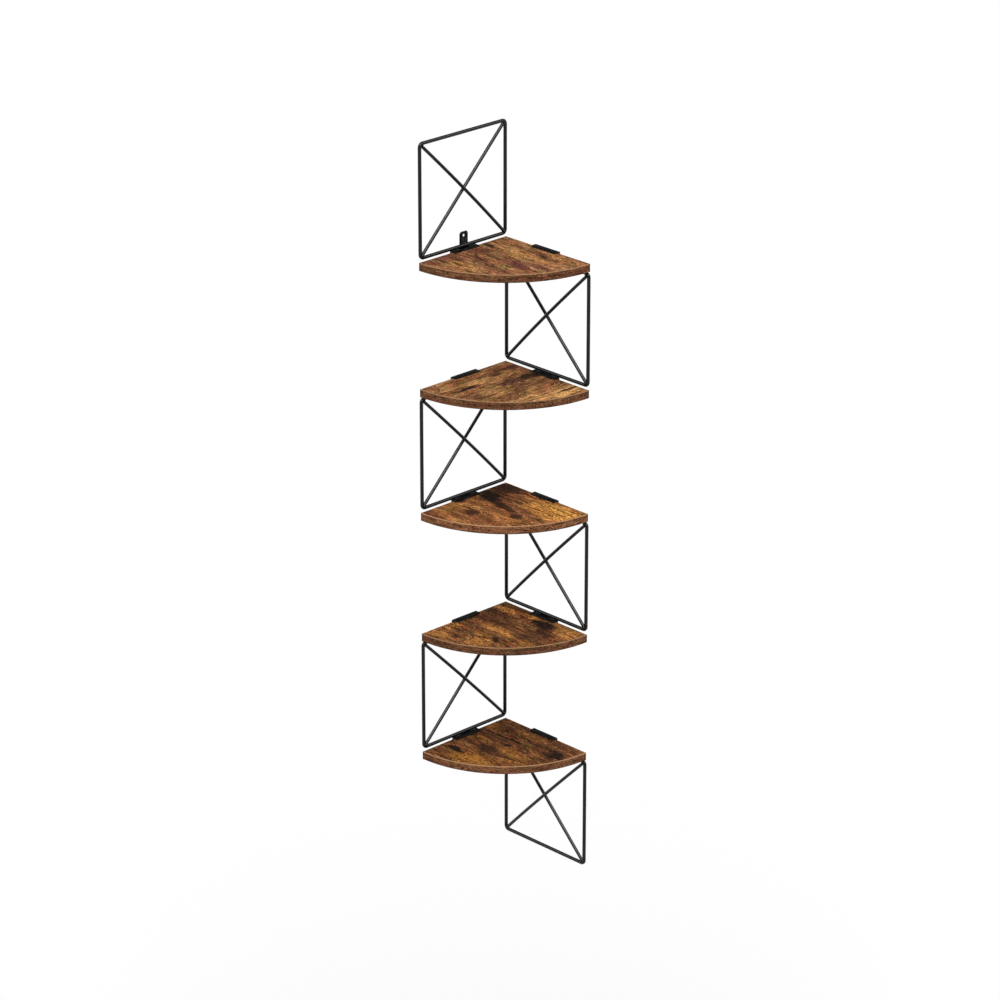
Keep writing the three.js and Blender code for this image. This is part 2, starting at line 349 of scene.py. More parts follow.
def board_slab(board):
    """A quarter disc with eased straight edges. Its outline is a row of points with the way in from each.
    A ring is outline + inset x way in, and each face is that ring drawn together to one inner point."""
    radius = board.radius - strip_thickness
    share = np.linspace(0, 1, edge_steps + 1)[:-1, None]
    right = share * [radius, 0]
    turn = np.linspace(0, -math.pi / 2, arc_steps + 1)[:-1, None]
    arc = radius * np.concatenate([np.cos(turn), np.sin(turn)], 1)
    left = (1 - share) * [0, -radius]
    outline = np.concatenate([right, arc, left]) + board.corner
    right_in, left_in = np.tile([0, -1.0], (len(right), 1)), np.tile([1.0, 0], (len(left), 1))
    way_in = np.concatenate([right_in, np.zeros_like(arc), left_in])
    way_in[0] = [1, -1]
    way_in[len(right)] = [0, -1]
    inner = board.corner + radius * inner_point_share * np.array([1, -1])
    ease = np.linspace(0, math.pi / 2, ease_steps + 1)
    inset = board_ease * (1 - np.cos(ease))
    rise = board_ease * np.sin(ease)
    rings = [(board_ease, board.low, pull) for pull in face_pull_shares]
    rings += [(i, board.low + board_ease - r, 0) for i, r in zip(inset[::-1], rise[::-1])]
    rings += [(i, board.high - board_ease + r, 0) for i, r in zip(inset, rise)]
    rings += [(board_ease, board.high, pull) for pull in face_pull_shares[::-1]]
    points = []
    for step, height, pull in rings:
        ring = outline + step * way_in
        ring = ring + pull * (inner - ring)
        points.append(np.column_stack([ring, np.full(len(ring), height)]))
    return np.array(points), grid_faces(len(rings), len(outline), False, True)


def edge_strip(board):
    """A thin band round the arc: a flat section with rounded outer corners, turned through a quarter."""
    inner = board.radius - strip_thickness
    ease = np.linspace(0, math.pi / 2, strip_ease_steps + 1)
    reach = board.radius - strip_ease * (1 - np.cos(ease))
    rise = strip_ease * np.sin(ease)
    distance = np.concatenate([[inner], reach[::-1], reach, [inner]])
    lower, upper = board.low + strip_ease - rise[::-1], board.high - strip_ease + rise
    height = np.concatenate([[board.low], lower, upper, [board.high]])
    turn = np.linspace(0, -math.pi / 2, arc_steps + 1)[:, None]
    x = board.corner[0] + distance * np.cos(turn)
    y = board.corner[1] + distance * np.sin(turn)
    points = np.stack([x, y, np.broadcast_to(height, x.shape)], -1)
    return points, closed_tube(len(turn), len(distance))


def channel(solid, left):
    """A channel folded from sheet. Its section is the sheet's middle line, two leaves joined by two folds
    and a web, moved half the sheet's thickness to either side. It is carried along the wall, and near both
    ends the leaves draw back by the chamfer."""
    along, out, up = spans(solid, left)
    middle_along, middle_up = (along[0] + along[1]) / 2, (up[0] + up[1]) / 2
    half = sheet_thickness / 2
    rise = (up[1] - up[0]) / 2 - half
    bend = fold_inside + half
    top_depth, bottom_depth = top_leaf_depth, out[1] - out[0]
    turn = np.linspace(math.pi / 2, math.pi, fold_steps + 1)
    around = np.column_stack([np.cos(turn), np.sin(turn)])
    upside_down = [1, -1]
    upper = [half + bend, rise - bend] + bend * around
    top_end, bottom_end = [[top_depth - sheet_ease, rise]], [[bottom_depth - sheet_ease, -rise]]
    centre = np.concatenate([top_end, upper, upper[::-1] * upside_down, bottom_end])
    side = np.concatenate([[[0, 1]], around, around[::-1] * upside_down, [[0, -1]]])
    past_the_folds = 2 * (half + bend)

    def section(half_thickness, draw_back):
        outer, inner = centre + half_thickness * side, centre - half_thickness * side
        edge = half_thickness - sheet_ease
        bottom_edge = [[bottom_depth, -rise - edge], [bottom_depth, -rise + edge]]
        top_edge = [[top_depth, rise - edge], [top_depth, rise + edge]]
        loop = np.concatenate([outer, bottom_edge, inner[::-1], top_edge])
        loop[:, 0] -= draw_back * (loop[:, 0] > past_the_folds)
        return loop

    reach = (along[1] - along[0]) / 2
    stations = [
        (reach, half - sheet_ease, leaf_chamfer),
        (reach - sheet_ease, half, leaf_chamfer - sheet_ease),
        (reach - leaf_chamfer, half, 0),
    ]
    stations = [(-place, *rest) for place, *rest in stations] + stations[::-1]
    rows = []
    for place, half_thickness, draw_back in stations:
        loop = section(half_thickness, draw_back)
        level = np.full(len(loop), middle_along + place)
        rows.append(np.column_stack([level, out[0] + loop[:, 0], middle_up + loop[:, 1]]))
    return laid(np.array(rows), left), closed_tube(len(rows), len(loop))


def screw(solid):
    """A pan-head screw that points up: rings of points about its axis, with height a function of the
    distance from it. A cross is sunk in the head, and its depth falls to nothing over its wall's width."""
    low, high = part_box(solid)
    centre = (low + high) / 2
    head, shank = (high.x - low.x) / 2, screw_diameter / 2
    flat = head - head_crown
    crown = np.linspace(0, math.pi / 2, crown_steps + 1)[1:]
    face = np.linspace(0, flat, face_steps + 1)
    distance = np.concatenate([face, flat + head_crown * np.sin(crown), [head, shank, shank, 0]])
    seat = low.z + head_height
    rounded = low.z + head_crown * (1 - np.cos(crown))
    shank_levels = [seat, seat, high.z - point_length, high.z]
    height = np.concatenate([np.full(len(face), low.z), rounded, shank_levels])
    turn = np.linspace(0, 2 * math.pi, screw_sides, endpoint=False)
    x, y = np.outer(distance, np.cos(turn)), np.outer(distance, np.sin(turn))

    def arm(across, lengthwise):
        beside = np.clip((recess_half_width - abs(across)) / recess_wall + 0.5, 0, 1)
        return beside * np.clip((recess_reach - abs(lengthwise)) / recess_wall, 0, 1)

    on_face = (np.arange(len(distance)) < len(face))[:, None]
    sunk = recess_depth * np.maximum(arm(x, y), arm(y, x)) * on_face
    points = np.stack([centre.x + x, centre.y + y, height[:, None] + sunk], -1)
    return points, grid_faces(len(distance), screw_sides, False, True)


def hanging_tab(left):
    """A plate with a hole. In each direction from the hole's middle its outline lies at the nearest edge,
    distance = edge offset / (edge normal . direction). Rings at the hole and the outline close it."""
    along, out, up = spans("wall_tab", left)
    hole = np.array([(along[0] + along[1]) / 2, up[1] - tab_hole_drop])
    half = (along[1] - along[0]) / 2
    slant = math.sqrt(0.5)
    normals = np.array([[1, 0], [-1, 0], [0, 1], [0, -1], [slant, slant], [-slant, slant]])
    cut_corner = (half + tab_hole_drop - tab_chamfer) * slant
    below_hole = hole[1] - up[0]
    offsets = np.array([half, half, tab_hole_drop, below_hole, cut_corner, cut_corner])
    side_top = tab_hole_drop - tab_chamfer
    corners = [(half, -below_hole), (half, side_top), (half - tab_chamfer, tab_hole_drop)]
    corner_turns = [math.atan2(rise, sign * run) for sign in (1, -1) for run, rise in corners]
    turn = np.concatenate([np.linspace(0, 2 * math.pi, tab_sides, endpoint=False), corner_turns])
    turn = np.unique((turn % (2 * math.pi)).round(angle_digits))
    ways = np.column_stack([np.cos(turn), np.sin(turn)])

    def outline(inset):
        facing = ways @ normals.T
        ahead = facing > least_facing
        distance = np.where(ahead, (offsets - inset) / np.where(ahead, facing, 1), np.inf)
        return ways * distance.min(1)[:, None]

    radius, back, front = tab_hole_diameter / 2, out[0], out[1]
    rings = [
        (ways * (radius + tab_ease), back),
        (ways * radius, back + tab_ease),
        (ways * radius, front - tab_ease),
        (ways * (radius + tab_ease), front),
        (outline(tab_ease), front),
        (outline(0), front - tab_ease),
        (outline(0), back + tab_ease),
        (outline(tab_ease), back),
    ]
    rows = []
    for ring, level in rings:
        x, z = (hole + ring).T
        rows.append(np.column_stack([x, np.full(len(ring), level), z]))
    return laid(np.array(rows), left), grid_faces(len(rings), len(turn), True, True)


# Finishes


def feed(tree, socket, value):
    """Links a socket, or sets a plain value."""
    if isinstance(value, bpy.types.NodeSocket):
        tree.links.new(value, socket)
    else:
        socket.default_value = value


def node(tree, kind, *values, **settings):
    """A node with its settings, whose first inputs take these values or sockets."""
    made = tree.nodes.new("ShaderNode" + kind)
    for name, value in settings.items():
        setattr(made, name, value)
    for socket, value in zip(made.inputs, values):
        feed(tree, socket, value)
    return made


def maths(tree, operation, *values):
    return node(tree, "Math", *values, operation=operation).outputs[0]


def times(tree, *values):
    return maths(tree, "MULTIPLY", *values)


def plus(tree, *values):
    return maths(tree, "ADD", *values)


def minus(tree, *values):
    return maths(tree, "SUBTRACT", *values)


def vector(tree, operation, *values):
    made = node(tree, "VectorMath", operation=operation)
    sockets = [made.inputs["Vector"], made.inputs["Scale"]] if operation == "SCALE" else made.inputs
    for socket, value in zip(sockets, values):
        feed(tree, socket, value)
    return made.outputs["Value" if operation in ("LENGTH", "DOT_PRODUCT") else "Vector"]


def blend(tree, share, first, second):
    """A mix of two colours."""
    made = node(tree, "Mix", data_type="RGBA")
    feed(tree, made.inputs["Factor"], share)
    feed(tree, made.inputs[6], first)
    feed(tree, made.inputs[7], second)
    return made.outputs[2]


def between(tree, share, first, second):
    """A mix of two numbers."""
    made = node(tree, "Mix", share, data_type="FLOAT")
    feed(tree, made.inputs[2], first)
    feed(tree, made.inputs[3], second)
    return made.outputs[0]


def smooth(tree, value, low, high, start=0.0, end=1.0):
    """An S-shaped step between two values."""
    made = node(tree, "MapRange", value, low, high, start, end, interpolation_type="SMOOTHSTEP")
    return made.outputs[0]


def within(tree, value, low, high, edge):
    """1 between two values and 0 outside them, with soft edges."""
    above = smooth(tree, value, low - edge, low + edge)
    return times(tree, above, smooth(tree, value, high - edge, high + edge, 1.0, 0.0))


def noise(tree, place, along, across, detail=1.0, rough=0.5, give="Fac"):
    """Noise from 0 to 1, with grains of these lengths along the grain and across it, in millimetres."""
    made = node(tree, "TexNoise")
    feed(tree, made.inputs["Vector"], vector(tree, "MULTIPLY", place, (1 / along, 1 / across, 1 / across)))
    for label, value in (("Scale", 1.0), ("Detail", detail), ("Roughness", rough)):
        made.inputs[label].default_value = value
    return made.outputs[give]


def group(name, inputs, outputs):
    """An empty node group. An input is a number, a place or a colour by the length of its value."""
    tree = bpy.data.node_groups.new(name, "ShaderNodeTree")
    for label, value in inputs.items():
        kind = {1: "Float", 3: "Vector", 4: "Color"}[np.size(value)]
        socket = tree.interface.new_socket(label, in_out="INPUT", socket_type="NodeSocket" + kind)
        socket.default_value = value
    for label, kind in outputs.items():
        tree.interface.new_socket(label, in_out="OUTPUT", socket_type="NodeSocket" + kind)
    return tree, tree.nodes.new("NodeGroupInput").outputs, tree.nodes.new("NodeGroupOutput").inputs


def use(tree, which, **values):
    """A node group placed in a tree, with values or sockets by name."""
    made = tree.nodes.new("ShaderNodeGroup")
    made.node_tree = which
    for label, value in values.items():
        feed(tree, made.inputs[label], value)
    return made.outputs


# How far inside its outline a stain begins and is full, as shares of its size
stain_edge = -0.10, 0.40


def stain_group():
    """An oval mark on a board. Mask is its strength inside, and falls off raggedly as the grain breaks."""
    inputs = {"Vector": (0, 0, 0), "Centre": (0, 0, 0), "Turn": (0, 0, 0), "Size": (1, 1, 1)}
    inputs |= {"Break": 0.5, "Ragged": 2.0, "Strength": 1.0}
    tree, given, gives = group("stain", inputs, {"Mask": "Float"})
    values = given["Vector"], given["Centre"], given["Turn"], given["Size"]
    in_oval = node(tree, "Mapping", *values, vector_type="TEXTURE").outputs[0]
    distance = vector(tree, "LENGTH", vector(tree, "MULTIPLY", in_oval, (1, 1, 0)))
    uneven = times(tree, minus(tree, given["Break"], 0.5), given["Ragged"])
    near = plus(tree, minus(tree, 1.0, distance), uneven)
    inside = smooth(tree, near, *stain_edge)
    tree.links.new(times(tree, inside, given["Strength"]), gives["Mask"])
    return tree


figure_marks = ("Tone", "Hue", "Streaks", "Grit", "Fibre", "Lines", "Pores", "Saw")

# The figure's noises: the length of a grain and its width in millimetres, the detail and the roughness. A
# step is the lowest and highest value over which a mark comes in.
figure_noises = {
    "Tone": (80, 17, 3.0, 0.55),
    "Hue": (28, 10, 3.0, 0.6),
    "Streaks": (34, 4.6, 2.0, 0.65),
    "Fibre": (8.0, 1.3, 2.0, 0.75),
    "Grit": (2.2, 1.2, 1.0, 0.6),
    "Break": (15, 4.5, 3.0, 0.65),
}
wander_noise = 58, 26, 2.0
wander_reach = 30.0, 15.0, 0.0
contour_noise = 190, 34, 1.5
contour_count = 16.0
crest_step = 0.36, 0.46
drawn_noise = 44, 7
drawn_step = 0.42, 0.56
pore_noise = 5.0, 1.6
pore_step = 0.57, 0.68
comb_noise = 1.9, 16
comb_step = 0.50, 0.64
sawn_noise = 30, 20
sawn_step = 0.48, 0.62


def figure_group():
    """The printed wood figure on its own. Place is the board's place, bent as the grain bends. The rest
    are broad tone and hue, streaks along the grain, grit, fine fibre, drawn lines, pores, saw marks across
    the grain, and a break that makes the edges of marks ragged."""
    inputs = {"Vector": (0, 0, 0), "Seed": (0, 0, 0)}
    outputs = {"Place": "Vector"} | {label: "Float" for label in (*figure_marks, "Break")}
    tree, given, gives = group("wood_figure", inputs, outputs)
    place = vector(tree, "ADD", given["Vector"], given["Seed"])
    wander = vector(tree, "SUBTRACT", noise(tree, place, *wander_noise, give="Color"), (0.5, 0.5, 0.5))
    bend = vector(tree, "MULTIPLY", wander, wander_reach)
    tree.links.new(vector(tree, "ADD", given["Vector"], bend), gives["Place"])
    bent = vector(tree, "ADD", place, bend)
    for label, looks in figure_noises.items():
        tree.links.new(noise(tree, bent, *looks), gives[label])
    contour = maths(tree, "FRACT", times(tree, noise(tree, bent, *contour_noise), contour_count))
    crest = maths(tree, "ABSOLUTE", minus(tree, contour, 0.5))
    drawn = smooth(tree, noise(tree, bent, *drawn_noise), *drawn_step)
    tree.links.new(times(tree, smooth(tree, crest, *crest_step), drawn), gives["Lines"])
    tree.links.new(smooth(tree, noise(tree, bent, *pore_noise), *pore_step), gives["Pores"])
    combed = smooth(tree, noise(tree, place, *comb_noise), *comb_step)
    sawn = smooth(tree, noise(tree, place, *sawn_noise), *sawn_step)
    tree.links.new(times(tree, combed, sawn), gives["Saw"])
    return tree


surface_outputs = {"Color": "Color", "Roughness": "Float", "Height": "Float"}

# The tones that a board or a strip gives the print, and the print's own as screen values
given_tones = "Deep", "Brown", "Light", "Amber", "Olive", "Gilt"
own_tones = {"Mauve": (84, 50, 42), "Soot": (36, 26, 20), "Line": (48, 29, 18)}

# The print: the steps over which its tones and shades come in, how far each covers what lies under it, how
# strongly the fine grain shades it, and its roughness and depth
grade_streaks = 0.7
brown_step = 0.34, 0.50
light_step = 0.49, 0.64
amber_step = 0.50, 0.62
amber_cover = 0.75
olive_step = 0.36, 0.48
olive_cover = 0.6
gilt_shade_step = -0.16, 0.06
gilt_shade_cover = 0.55
plum_grit_step = -0.14, 0.14
plum_grit_cover = 0.75
charcoal_hides = 0.6
mark_covers = {"Lines": 0.8, "Pores": 0.55, "Saw": 0.42}
fibre_bite = 4.0
grit_bite = 4.8
print_level = 1.16
least_level = 0.25
print_roughness = 0.52
mark_roughness = 0.12
fibre_roughness = 0.3
mark_height = -0.75
print_depth = 0.05 * mm


def print_group():
    """The print's colour from its figure and its marks. Brown grades by tone and streaks and turns amber
    or olive by hue. Gold, plum and charcoal marks lie over it, and lines, pores and saw marks darken it.
    The bite says how strongly grit, fibre and streaks shade the whole."""
    inputs = {label: 0.0 for label in (*figure_marks, "Gold", "Plum", "Charcoal", "Bite")}
    inputs |= {label: (0, 0, 0, 1) for label in given_tones}
    inputs |= {label: paint(*value) for label, value in own_tones.items()}
    tree, given, gives = group("rustic_print", inputs, surface_outputs)
    streak = minus(tree, given["Streaks"], 0.5)
    fibre = minus(tree, given["Fibre"], 0.5)
    grit = minus(tree, given["Grit"], 0.5)
    grade = plus(tree, given["Tone"], times(tree, streak, grade_streaks))
    colour = blend(tree, smooth(tree, grade, *brown_step), given["Deep"], given["Brown"])
    colour = blend(tree, smooth(tree, grade, *light_step), colour, given["Light"])
    amber = smooth(tree, given["Hue"], *amber_step, 0.0, amber_cover)
    colour = blend(tree, amber, colour, given["Amber"])
    olive = smooth(tree, given["Hue"], *olive_step, olive_cover, 0.0)
    colour = blend(tree, olive, colour, given["Olive"])
    shade = smooth(tree, streak, *gilt_shade_step, gilt_shade_cover, 0.0)
    colour = blend(tree, given["Gold"], colour, blend(tree, shade, given["Gilt"], given["Amber"]))
    thin = smooth(tree, grit, *plum_grit_step, 1.0, plum_grit_cover)
    colour = blend(tree, times(tree, given["Plum"], thin), colour, given["Mauve"])
    colour = blend(tree, given["Charcoal"], colour, given["Soot"])
    bare = minus(tree, 1.0, times(tree, given["Charcoal"], charcoal_hides))
    for mark, cover in mark_covers.items():
        share = times(tree, times(tree, given[mark], cover), bare)
        colour = blend(tree, share, colour, given["Line"])
    uneven = plus(tree, times(tree, fibre, fibre_bite), streak)
    uneven = plus(tree, uneven, times(tree, grit, grit_bite))
    uneven = times(tree, uneven, given["Bite"])
    level = maths(tree, "MAXIMUM", plus(tree, uneven, print_level), least_level)
    tree.links.new(vector(tree, "SCALE", colour, level), gives["Color"])
    worn = times(tree, maths(tree, "MAXIMUM", given["Pores"], given["Lines"]), mark_roughness)
    rough = plus(tree, worn, times(tree, fibre, fibre_roughness))
    tree.links.new(plus(tree, rough, print_roughness), gives["Roughness"])
    sunk = times(tree, plus(tree, given["Pores"], given["Lines"]), mark_height)
    tree.links.new(plus(tree, sunk, fibre), gives["Height"])
    return tree


# The powder coat's clouds, dimples and grit in millimetres, and what they change
cloud_noise = 30, 30, 2.0
dimple_noise = 1.1, 1.1
grit_noise = 0.35, 0.35
grit_height = 0.5
coat_tone_step = 0.35, 0.65
coat_gloss_step = 0.3, 0.7
coat_roughness = 0.20, 0.27
coat_gloss = 0.22
coat_depth = 0.006 * mm
zinc_gloss = 0.5
zinc_metallic = 0.6
zinc_depth = 0.01 * mm


def coat_group():
    """Powder coat: the fine dimpled skin that it leaves, as a height, and an uneven gloss and tone."""
    inputs = {"Vector": (0, 0, 0), "Dark": paint(13, 13, 14), "Pale": paint(20, 20, 22)}
    tree, given, gives = group("powder_coat", inputs, surface_outputs)
    cloud = noise(tree, given["Vector"], *cloud_noise)
    dimple = noise(tree, given["Vector"], *dimple_noise)
    grit = noise(tree, given["Vector"], *grit_noise)
    pale = smooth(tree, cloud, *coat_tone_step)
    tree.links.new(blend(tree, pale, given["Dark"], given["Pale"]), gives["Color"])
    tree.links.new(smooth(tree, cloud, *coat_gloss_step, *coat_roughness), gives["Roughness"])
    tree.links.new(plus(tree, dimple, times(tree, grit, grit_height)), gives["Height"])
    return tree


stain = stain_group()
wood_figure = figure_group()
rustic_print = print_group()
powder_coat = coat_group()


def new_material(name, gloss):
    """A material with its tree and its Principled shader."""
    material = bpy.data.materials.new(name)
    material.use_nodes = True
    tree = material.node_tree
    shader = tree.nodes["Principled BSDF"]
    shader.inputs["Specular IOR Level"].default_value = gloss
    return material, tree, shader


def place_on(tree):
    """The place on a piece, in millimetres."""
    return vector(tree, "SCALE", tree.nodes.new("ShaderNodeTexCoord").outputs["Object"], 1 / mm)


def finish_with(tree, shader, surface, depth):
    """Feeds the shader a colour, a roughness, and a bump of a depth in metres."""
    tree.links.new(surface["Color"], shader.inputs["Base Color"])
    tree.links.new(surface["Roughness"], shader.inputs["Roughness"])
    bump = node(tree, "Bump")
    bump.inputs["Distance"].default_value = depth
    tree.links.new(surface["Height"], bump.inputs["Height"])
    tree.links.new(bump.outputs[0], shader.inputs["Normal"])


def coated(name, gloss, metallic, depth, **tones):
    """Steel with a thin coat, in the powder's tones or its own."""
    material, tree, shader = new_material(name, gloss)
    shader.inputs["Metallic"].default_value = metallic
    finish_with(tree, shader, use(tree, powder_coat, Vector=place_on(tree), **tones), depth)
    return material


# The marks on each board, in millimetres from its square corner: the place along the right wall and the
# left one, the length along the grain, the width, the turn in degrees and the strength in percent
board_marks = {
    1: {
        "Gold": [
            (78, 48, 96, 34, -6, 60), (60, 154, 92, 26, 0, 75), (150, 18, 80, 30, 0, 40),
            (136, 48, 44, 26, 0, 35), (26, 24, 60, 20, 0, 30),
        ],
        "Plum": [
            (122, 86, 56, 28, 6, 100), (84, 84, 44, 20, 0, 60), (70, 126, 160, 24, 0, 35),
            (10, 180, 44, 40, 0, 85), (112, 24, 52, 16, 8, 45), (22, 84, 40, 40, 0, 60),
            (150, 68, 46, 22, 0, 70), (14, 140, 50, 60, 0, 80), (34, 120, 70, 26, 0, 50),
        ],
        "Charcoal": [(16, 53, 50, 10, 2, 100), (50, 141, 80, 4, -1, 60), (18, 162, 40, 6, 0, 85)],
    },
    2: {
        "Gold": [
            (174, 50, 130, 38, 3, 100), (41, 92, 50, 26, 0, 50), (82, 98, 50, 24, 0, 40),
            (150, 98, 60, 28, 0, 45), (152, 62, 80, 14, 4, 45), (46, 50, 74, 13, -6, 60),
            (24, 168, 60, 34, 0, 40), (92, 112, 50, 22, 0, 30),
        ],
        "Plum": [
            (78, 60, 74, 30, -8, 100), (104, 44, 80, 40, 0, 55), (124, 104, 60, 30, 0, 50),
            (84, 156, 44, 30, 0, 75), (30, 22, 34, 22, 0, 80), (12, 178, 40, 30, 0, 60),
            (112, 70, 50, 20, 0, 60),
        ],
        "Charcoal": [(50, 138, 54, 10, 2, 100), (78, 16, 46, 28, -6, 90), (165, 24, 70, 6, 0, 85)],
    },
    3: {
        "Gold": [
            (150, 36, 134, 66, 0, 100), (16, 138, 60, 44, 0, 25), (104, 108, 90, 26, 0, 20),
            (24, 172, 60, 26, 0, 15),
        ],
        "Plum": [
            (64, 50, 120, 50, 12, 50), (126, 72, 80, 20, 6, 65), (26, 22, 84, 50, 0, 75),
            (84, 152, 170, 30, 0, 42), (44, 140, 40, 16, 0, 40), (70, 98, 46, 22, 0, 55),
            (12, 182, 44, 30, 0, 50),
        ],
        "Charcoal": [
            (20, 16, 80, 38, 0, 85), (20, 38, 50, 16, 0, 60), (8, 56, 50, 28, 0, 100),
            (31, 64, 70, 38, 20, 100), (76, 76, 62, 22, 8, 88), (142, 15, 90, 4, 2, 60),
            (150, 24, 80, 4, 3, 60), (128, 31, 70, 4, 2, 60), (150, 40, 84, 4, 4, 65),
            (146, 50, 90, 4, 5, 60), (4, 111, 20, 22, 0, 95),
        ],
        "Knot": [(57, 132, 27, 24, 0, 86), (120, 91, 28, 24, 24, 90), (104, 83, 26, 9, 34, 60)],
    },
    4: {
        "Gold": [
            (28, 25, 66, 16, 4, 100), (76, 17, 56, 12, 3, 85), (70, 122, 70, 20, 0, 45),
            (152, 96, 40, 26, 0, 45), (76, 94, 78, 20, 2, 80), (84, 146, 70, 44, 10, 50),
            (168, 20, 66, 38, 0, 65), (8, 132, 34, 46, 0, 80), (20, 172, 50, 34, 0, 65),
            (120, 4, 90, 10, 0, 60),
        ],
        "Plum": [
            (44, 58, 104, 50, 0, 75), (126, 70, 110, 36, 0, 60), (44, 142, 40, 60, 0, 65),
            (36, 112, 80, 24, 0, 40),
        ],
        "Charcoal": [
            (118, 26, 58, 28, 6, 100), (141, 46, 64, 24, 26, 80), (58, 70, 44, 12, 0, 50),
            (44, 12, 70, 5, 2, 50), (18, 76, 30, 10, 0, 60), (3, 98, 16, 34, 0, 90),
        ],
        "Knot": [(101, 124, 22, 14, 34, 95), (110, 136, 20, 5, 50, 70)],
    },
    5: {
        "Gold": [
            (84, 156, 110, 48, -4, 95), (140, 112, 70, 30, -8, 40), (92, 24, 70, 20, 0, 30),
            (7, 36, 24, 26, 0, 50), (40, 88, 60, 20, 0, 50), (112, 90, 90, 24, 0, 50),
            (84, 128, 110, 22, 0, 50), (138, 62, 50, 14, 0, 35),
        ],
        "Plum": [
            (34, 24, 56, 30, 0, 55), (36, 70, 110, 22, 0, 60), (66, 110, 84, 44, 4, 65),
            (152, 42, 90, 46, 6, 65), (150, 12, 90, 26, 0, 60),
        ],
        "Charcoal": [
            (64, 109, 42, 24, 4, 75), (164, 44, 46, 34, 10, 100), (55, 54, 120, 5, 0, 80),
            (122, 66, 30, 5, 14, 80), (120, 108, 60, 5, -12, 80), (100, 37, 90, 4, 0, 55),
            (60, 130, 90, 4, 3, 55), (136, 12, 16, 5, 0, 60),
        ],
        "Knot": [(33, 146, 40, 14, 3, 100), (83, 75, 17, 15, 0, 100), (48, 147, 24, 9, 6, 90)],
    },
}

# How ragged the edge of each kind of mark is
mark_edges = {"Gold": 2.6, "Plum": 2.4, "Charcoal": 1.9, "Knot": 0.8}

# The specular level of the print, which is nearly matt
wood_gloss = 0.02

# For boards 1 to 5 in turn: the seed that moves its figure, how strongly fine grain shades it, how light
# its strip is, and its tones as screen values. Board 2's grain alone runs along the left wall.
board_seeds = 11, 23, 37, 41, 59
board_seed_steps = 97.0, 31.0, 5.0
strip_seed_steps = 53.0, 17.0, 3.0
board_bites = 1.1, 1.1, 1.2, 1.6, 1.6
strip_levels = 0.91, 0.92, 1.03, 0.86, 0.98
grain_left_boards = [2]
board_tones = {
    "Deep": [(94, 59, 39), (92, 57, 36), (100, 60, 37), (70, 42, 28), (58, 35, 22)],
    "Brown": [(134, 92, 60), (140, 95, 60), (148, 94, 57), (108, 69, 42), (100, 62, 38)],
    "Light": [(172, 126, 82), (182, 131, 84), (184, 126, 76), (140, 94, 56), (134, 88, 54)],
    "Amber": [(160, 98, 68), (162, 100, 66), (170, 100, 60), (142, 80, 46), (128, 74, 44)],
    "Olive": [(132, 108, 62), (130, 104, 52), (128, 100, 48), (98, 78, 38), (92, 72, 34)],
    "Gilt": [(186, 136, 76), (214, 164, 102), (222, 158, 76), (180, 124, 62), (160, 108, 46)],
    "Mauve": [(98, 54, 48), (82, 46, 42), (84, 50, 38), (72, 43, 33), (62, 39, 29)],
}


def wood_marks(tree, figure, marks, grain_left):
    """The mask of each kind of mark, the strongest where marks of one kind meet."""
    masks = {}
    for kind, places in marks.items():
        for along_right, along_left, length, width, turn, strength in places:
            oval = {
                "Centre": (along_left, along_right, 0) if grain_left else (along_right, -along_left, 0),
                "Turn": (0, 0, math.radians(turn if grain_left else -turn)),
                "Size": (length / 2, width / 2, 1),
                "Ragged": mark_edges[kind],
                "Strength": strength / 100,
            }
            mask = use(tree, stain, Vector=figure["Place"], Break=figure["Break"], **oval)["Mask"]
            colour = "Charcoal" if kind == "Knot" else kind
            masks[colour] = maths(tree, "MAXIMUM", masks[colour], mask) if colour in masks else mask
    return masks


def figure_on(tree, lie, board, seed_steps):
    """The figure where a surface lies, moved on by the board's seed."""
    seed = board_seeds[board.number - 1]
    return use(tree, wood_figure, Vector=lie, Seed=tuple(seed * step for step in seed_steps))


def print_from(tree, figure, **values):
    """The print of a figure, with these masks and tones."""
    return use(tree, rustic_print, **{label: figure[label] for label in figure_marks}, **values)


def board_wood(board):
    """The rustic print on a board's faces, with its own marks."""
    grain_left = board.number in grain_left_boards
    material, tree, shader = new_material(f"rustic_wood_{board.number}", wood_gloss)
    lie = vector(tree, "SUBTRACT", place_on(tree), (*(board.corner / mm), board.high / mm))
    if grain_left:
        turned = node(tree, "Mapping", lie, vector_type="POINT")
        turned.inputs["Rotation"].default_value = (0, 0, math.pi / 2)
        lie = turned.outputs[0]
    figure = figure_on(tree, lie, board, board_seed_steps)
    masks = wood_marks(tree, figure, board_marks[board.number], grain_left)
    row = board.number - 1
    tones = {label: paint(*values[row]) for label, values in board_tones.items()}
    printed = print_from(tree, figure, Bite=board_bites[row], **masks, **tones)
    finish_with(tree, shader, printed, print_depth)
    return material


# The strips' tones, a painted highlight along their rounded upper edge, and painted shade at their lower
# edge and ends. Places and depths are in millimetres from the upper face, the lower edge and the ends.
strip_tones = {
    "Deep": (92, 59, 41),
    "Brown": (113, 74, 51),
    "Light": (132, 90, 62),
    "Amber": (124, 76, 52),
    "Olive": (104, 78, 48),
}
strip_highlight_colour = (196, 152, 112)
strip_highlight_step = -1.7, -1.02
strip_highlight_cover = 0.8
strip_highlight_breaks = 0.30, 0.45
strip_highlight_least = 0.5
strip_highlight_power = 0.7
strip_shade_colour = (46, 29, 21)
strip_shade_depth = 2.2
strip_shade_cover = 0.55
strip_end_shade_depth = 3.4
strip_end_shade_width = 0.4
strip_end_shade_cover = 0.8
strip_patch_step = 0.54, 0.72
strip_patch_cover = 0.5
strip_fineness = 1.5
strip_bite = 1.2


